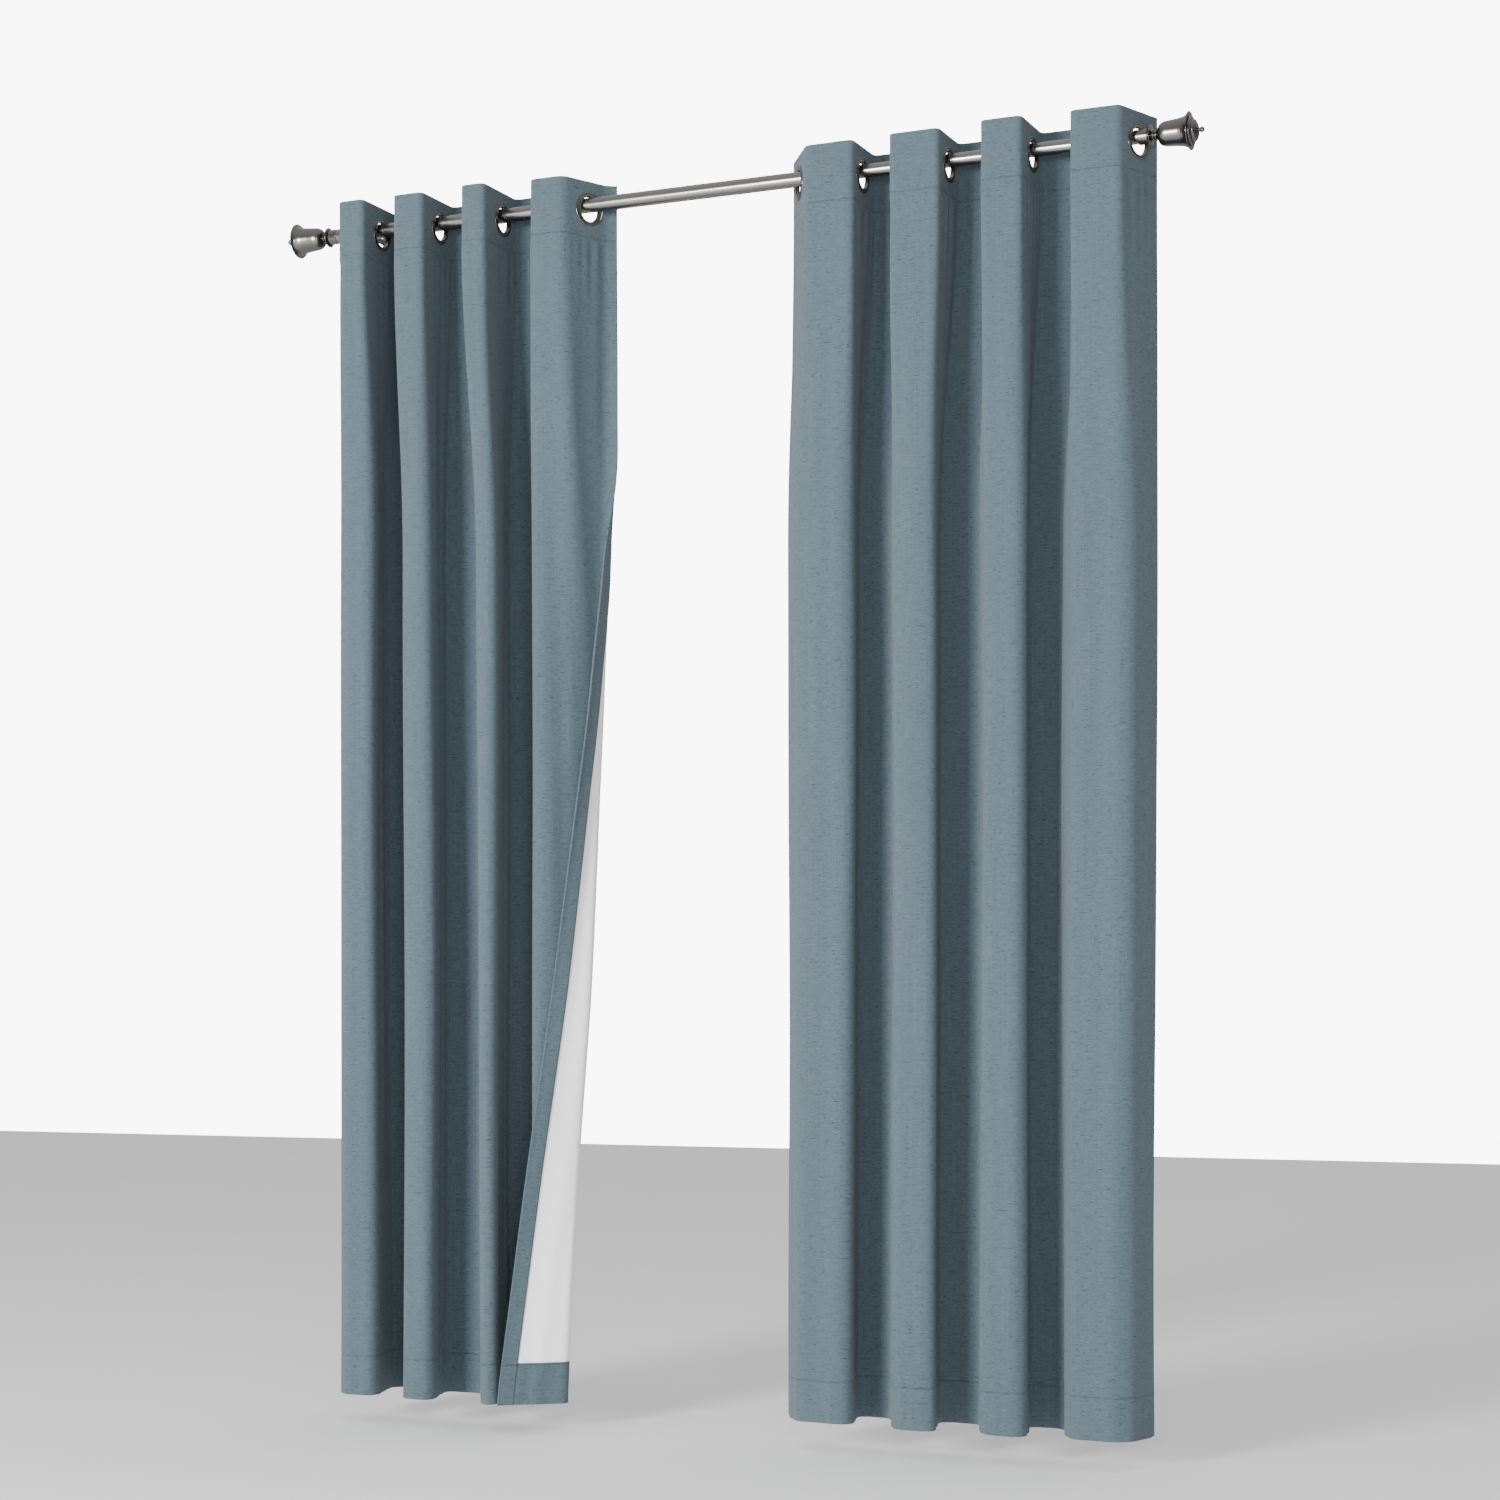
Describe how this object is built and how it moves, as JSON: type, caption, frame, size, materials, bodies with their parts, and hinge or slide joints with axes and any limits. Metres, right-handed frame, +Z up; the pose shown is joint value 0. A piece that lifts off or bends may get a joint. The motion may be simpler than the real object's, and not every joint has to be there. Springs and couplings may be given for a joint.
{
  "type": "window curtains on a rod",
  "caption": "Pair of lined grommet-top curtain panels hanging in folds on a telescoping metal rod with urn finials and wall brackets.",
  "frame": {"origin": "on the wall, midway between the two wall plates, level with the rod's axis", "axes": "+X along the rod to the right seen from the room, +Y into the wall, +Z up"},
  "size_m": [1.7156, 0.1791, 2.134],
  "materials": {
    "face_fabric": "slubbed matt weave",
    "lining": "smooth white blackout backing",
    "brushed_nickel": "brushed satin nickel",
    "grommet_nickel": "satin nickel plate",
    "bracket_steel": "satin nickel plate"
  },
  "bodies": {
    "rod_and_brackets": {"rod_outer_tube": "brushed_nickel", "left_finial_sleeve": "brushed_nickel", "left_wall_plate": "bracket_steel", "left_bracket_arm": "brushed_nickel", "left_rod_cradle": "brushed_nickel", "left_upper_wall_screw": "bracket_steel", "left_lower_wall_screw": "bracket_steel", "right_wall_plate": "bracket_steel", "right_bracket_arm": "brushed_nickel", "right_rod_cradle": "brushed_nickel", "right_upper_wall_screw": "bracket_steel", "right_lower_wall_screw": "bracket_steel"},
    "inner_tube": {"rod_inner_tube": "brushed_nickel", "right_finial_sleeve": "brushed_nickel"},
    "left_finial": {"left_finial_neck": "brushed_nickel", "left_finial_urn": "brushed_nickel", "left_finial_cap": "brushed_nickel"},
    "right_finial": {"right_finial_neck": "brushed_nickel", "right_finial_urn": "brushed_nickel", "right_finial_cap": "brushed_nickel"},
    "left_lock": {"left_lock_screw": "brushed_nickel"},
    "right_lock": {"right_lock_screw": "brushed_nickel"},
    "left_ring_1": {"left_grommet_1": "grommet_nickel", "left_cloth_1": "face_fabric"},
    "left_ring_2": {"left_grommet_2": "grommet_nickel", "left_cloth_2": "face_fabric"},
    "left_ring_3": {"left_grommet_3": "grommet_nickel", "left_cloth_3": "face_fabric"},
    "left_ring_4": {"left_grommet_4": "grommet_nickel", "left_cloth_4": "face_fabric"},
    "left_ring_5": {"left_grommet_5": "grommet_nickel", "left_cloth_5": "face_fabric"},
    "left_ring_6": {"left_grommet_6": "grommet_nickel", "left_cloth_6": "face_fabric"},
    "left_ring_7": {"left_grommet_7": "grommet_nickel", "left_cloth_7": "face_fabric"},
    "left_ring_8": {"left_grommet_8": "grommet_nickel", "left_cloth_8": "face_fabric"},
    "right_ring_1": {"right_grommet_1": "grommet_nickel", "right_cloth_1": "face_fabric"},
    "right_ring_2": {"right_grommet_2": "grommet_nickel", "right_cloth_2": "face_fabric"},
    "right_ring_3": {"right_grommet_3": "grommet_nickel", "right_cloth_3": "face_fabric"},
    "right_ring_4": {"right_grommet_4": "grommet_nickel", "right_cloth_4": "face_fabric"},
    "right_ring_5": {"right_grommet_5": "grommet_nickel", "right_cloth_5": "face_fabric"},
    "right_ring_6": {"right_grommet_6": "grommet_nickel", "right_cloth_6": "face_fabric"},
    "right_ring_7": {"right_grommet_7": "grommet_nickel", "right_cloth_7": "face_fabric"},
    "right_ring_8": {"right_grommet_8": "grommet_nickel", "right_cloth_8": "face_fabric"}
  },
  "joints": [
    {"name": "rod_telescope", "type": "slide", "parent": "rod_and_brackets", "child": "inner_tube", "axis": [1, 0, 0], "range_m": [0, 0.25]},
    {"name": "left_finial_turn", "type": "hinge", "parent": "rod_and_brackets", "child": "left_finial", "pos_m": [-0.766, -0.09, 0], "axis": [-1, 0, 0], "continuous": true},
    {"name": "right_finial_turn", "type": "hinge", "parent": "inner_tube", "child": "right_finial", "pos_m": [0.766, -0.09, 0], "axis": [1, 0, 0], "continuous": true},
    {"name": "left_lock_screw_turn", "type": "hinge", "parent": "rod_and_brackets", "child": "left_lock", "pos_m": [-0.697, -0.11, 0], "axis": [0, 1, 0], "continuous": true},
    {"name": "right_lock_screw_turn", "type": "hinge", "parent": "rod_and_brackets", "child": "right_lock", "pos_m": [0.697, -0.11, 0], "axis": [0, 1, 0], "continuous": true},
    {"name": "left_panel_draw", "type": "slide", "parent": "rod_and_brackets", "child": "left_ring_8", "axis": [1, 0, 0], "range_m": [-0.175, 0.2], "deforming": ["left_cloth_8"]},
    {"name": "left_gather_7", "type": "slide", "parent": "left_ring_8", "child": "left_ring_7", "axis": [1, 0, 0], "range_m": [-0.0462, 0.0405], "deforming": ["left_cloth_7"]},
    {"name": "left_gather_6", "type": "slide", "parent": "left_ring_7", "child": "left_ring_6", "axis": [1, 0, 0], "range_m": [-0.0176, 0.0155], "deforming": ["left_cloth_6"]},
    {"name": "left_gather_5", "type": "slide", "parent": "left_ring_6", "child": "left_ring_5", "axis": [1, 0, 0], "range_m": [-0.0108, 0.0095], "deforming": ["left_cloth_5"]},
    {"name": "left_gather_4", "type": "slide", "parent": "left_ring_5", "child": "left_ring_4", "axis": [1, 0, 0], "range_m": [-0.0485, 0.0425], "deforming": ["left_cloth_4"]},
    {"name": "left_gather_3", "type": "slide", "parent": "left_ring_4", "child": "left_ring_3", "axis": [1, 0, 0], "range_m": [-0.0256, 0.0225], "deforming": ["left_cloth_3"]},
    {"name": "left_gather_2", "type": "slide", "parent": "left_ring_3", "child": "left_ring_2", "axis": [1, 0, 0], "range_m": [-0.0302, 0.0265], "deforming": ["left_cloth_2"]},
    {"name": "left_gather_1", "type": "slide", "parent": "left_ring_2", "child": "left_ring_1", "axis": [1, 0, 0], "range_m": [-0.0245, 0.0215], "deforming": ["left_cloth_1"]},
    {"name": "right_panel_draw", "type": "slide", "parent": "rod_and_brackets", "child": "right_ring_8", "axis": [1, 0, 0], "range_m": [-0.11, 0.237], "deforming": ["right_cloth_8"]},
    {"name": "right_gather_7", "type": "slide", "parent": "right_ring_8", "child": "right_ring_7", "axis": [1, 0, 0], "range_m": [-0.0505, 0.0237], "deforming": ["right_cloth_7"]},
    {"name": "right_gather_6", "type": "slide", "parent": "right_ring_7", "child": "right_ring_6", "axis": [1, 0, 0], "range_m": [-0.0295, 0.014], "deforming": ["right_cloth_6"]},
    {"name": "right_gather_5", "type": "slide", "parent": "right_ring_6", "child": "right_ring_5", "axis": [1, 0, 0], "range_m": [-0.0345, 0.0163], "deforming": ["right_cloth_5"]},
    {"name": "right_gather_4", "type": "slide", "parent": "right_ring_5", "child": "right_ring_4", "axis": [1, 0, 0], "range_m": [-0.0325, 0.0154], "deforming": ["right_cloth_4"]},
    {"name": "right_gather_3", "type": "slide", "parent": "right_ring_4", "child": "right_ring_3", "axis": [1, 0, 0], "range_m": [-0.0315, 0.0149], "deforming": ["right_cloth_3"]},
    {"name": "right_gather_2", "type": "slide", "parent": "right_ring_3", "child": "right_ring_2", "axis": [1, 0, 0], "range_m": [-0.0285, 0.0135], "deforming": ["right_cloth_2"]},
    {"name": "right_gather_1", "type": "slide", "parent": "right_ring_2", "child": "right_ring_1", "axis": [1, 0, 0], "range_m": [-0.0335, 0.0158], "deforming": ["right_cloth_1"]}
  ],
  "couplings": [
    {"joint": "left_gather_7", "follows": "left_panel_draw", "ratio": -0.22857},
    {"joint": "left_gather_6", "follows": "left_panel_draw", "ratio": -0.08571},
    {"joint": "left_gather_5", "follows": "left_panel_draw", "ratio": -0.05143},
    {"joint": "left_gather_4", "follows": "left_panel_draw", "ratio": -0.24},
    {"joint": "left_gather_3", "follows": "left_panel_draw", "ratio": -0.12571},
    {"joint": "left_gather_2", "follows": "left_panel_draw", "ratio": -0.14857},
    {"joint": "left_gather_1", "follows": "left_panel_draw", "ratio": -0.12},
    {"joint": "right_gather_7", "follows": "right_panel_draw", "ratio": -0.21097},
    {"joint": "right_gather_6", "follows": "right_panel_draw", "ratio": -0.12236},
    {"joint": "right_gather_5", "follows": "right_panel_draw", "ratio": -0.14346},
    {"joint": "right_gather_4", "follows": "right_panel_draw", "ratio": -0.13502},
    {"joint": "right_gather_3", "follows": "right_panel_draw", "ratio": -0.1308},
    {"joint": "right_gather_2", "follows": "right_panel_draw", "ratio": -0.11814},
    {"joint": "right_gather_1", "follows": "right_panel_draw", "ratio": -0.13924}
  ]
}
